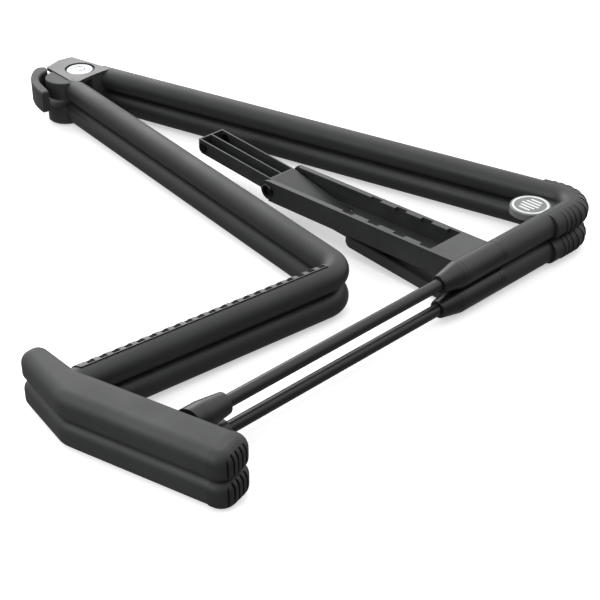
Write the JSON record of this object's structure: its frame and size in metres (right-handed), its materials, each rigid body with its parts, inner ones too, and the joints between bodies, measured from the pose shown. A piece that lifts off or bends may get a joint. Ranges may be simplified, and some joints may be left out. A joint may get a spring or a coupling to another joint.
{
  "type": "folding guitar rack",
  "caption": "Folding floor rack that holds several guitars side by side, folded flat and lying on its side, with bent-tube side frames and a hinged spreader.",
  "frame": {"origin": "centre of the box in X and Y, at the lowest face, rack folded and lying on its side", "axes": "+Y from the tie rods to the apex, +X along the tie rods towards the rear bend, +Z out of the side frames, upwards"},
  "size_m": [0.5596, 0.6754, 0.0524],
  "materials": {
    "painted_tube": "satin black powder coat",
    "painted_rod": "satin black",
    "foot_plastic": "fine matt grain",
    "black_rubber": "matt",
    "fitting_plastic": "satin",
    "link_plastic": "satin",
    "cast_bracket": "satin, smooth",
    "chrome": "polished",
    "bright_steel": "blackened",
    "badge": "smooth",
    "saddle_rubber": "satin moulded"
  },
  "bodies": {
    "right_frame": {"right_apex_bolt": "bright_steel", "right_apex_bracket": "cast_bracket", "right_apex_cap": "chrome", "right_apex_knuckle": "fitting_plastic", "right_badge_disc": "badge", "right_badge_mount": "fitting_plastic", "right_bend_sleeve": "black_rubber", "right_cradle_liner": "black_rubber", "right_cradle_strip": "saddle_rubber", "right_end_foot": "foot_plastic", "right_foot_pad": "black_rubber", "right_front_cone": "fitting_plastic", "right_front_leg_tube": "painted_tube", "right_rear_cone": "fitting_plastic", "right_rear_leg_tube": "painted_tube", "right_seam_ring": "fitting_plastic", "right_tie_rod": "painted_rod"},
    "right_link": {"right_hinge_barrel": "fitting_plastic", "right_channel": "link_plastic", "right_nose": "link_plastic", "right_tongue": "link_plastic", "near_tongue_pin": "bright_steel", "far_tongue_pin": "bright_steel"},
    "left_link": {"left_hinge_barrel": "fitting_plastic", "left_channel": "link_plastic", "left_channel_rib": "link_plastic", "centre_pin": "bright_steel", "near_pin_head": "bright_steel", "far_pin_head": "bright_steel"},
    "left_frame": {"left_apex_bolt": "bright_steel", "left_apex_bracket": "cast_bracket", "left_apex_cap": "chrome", "left_apex_knuckle": "fitting_plastic", "left_badge_disc": "badge", "left_badge_mount": "fitting_plastic", "left_bend_sleeve": "black_rubber", "left_cradle_liner": "black_rubber", "left_cradle_strip": "saddle_rubber", "left_end_foot": "foot_plastic", "left_fold_clip": "fitting_plastic", "left_foot_pad": "black_rubber", "left_front_cone": "fitting_plastic", "left_front_leg_tube": "painted_tube", "left_rear_cone": "fitting_plastic", "left_rear_leg_tube": "painted_tube", "left_seam_ring": "fitting_plastic", "left_tie_rod": "painted_rod"}
  },
  "joints": [
    {"name": "right_hinge", "type": "hinge", "parent": "right_frame", "child": "right_link", "pos_m": [0.02469, -0.27382, 0.0135], "axis": [1, 0, 0], "range_deg": [0, 86.19]},
    {"name": "centre_hinge", "type": "hinge", "parent": "right_link", "child": "left_link", "pos_m": [0.02469, -0.03082, 0.0297], "axis": [1, 0, 0], "range_deg": [-174.03, 0.01]},
    {"name": "left_hinge", "type": "hinge", "parent": "left_link", "child": "left_frame", "pos_m": [0.02469, -0.27382, 0.0389], "axis": [1, 0, 0], "range_deg": [-0.01, 87.84]}
  ],
  "couplings": [
    {"joint": "centre_hinge", "follows": "right_hinge", "ratio": -2.0191},
    {"joint": "left_hinge", "follows": "right_hinge", "ratio": 1.0191}
  ]
}
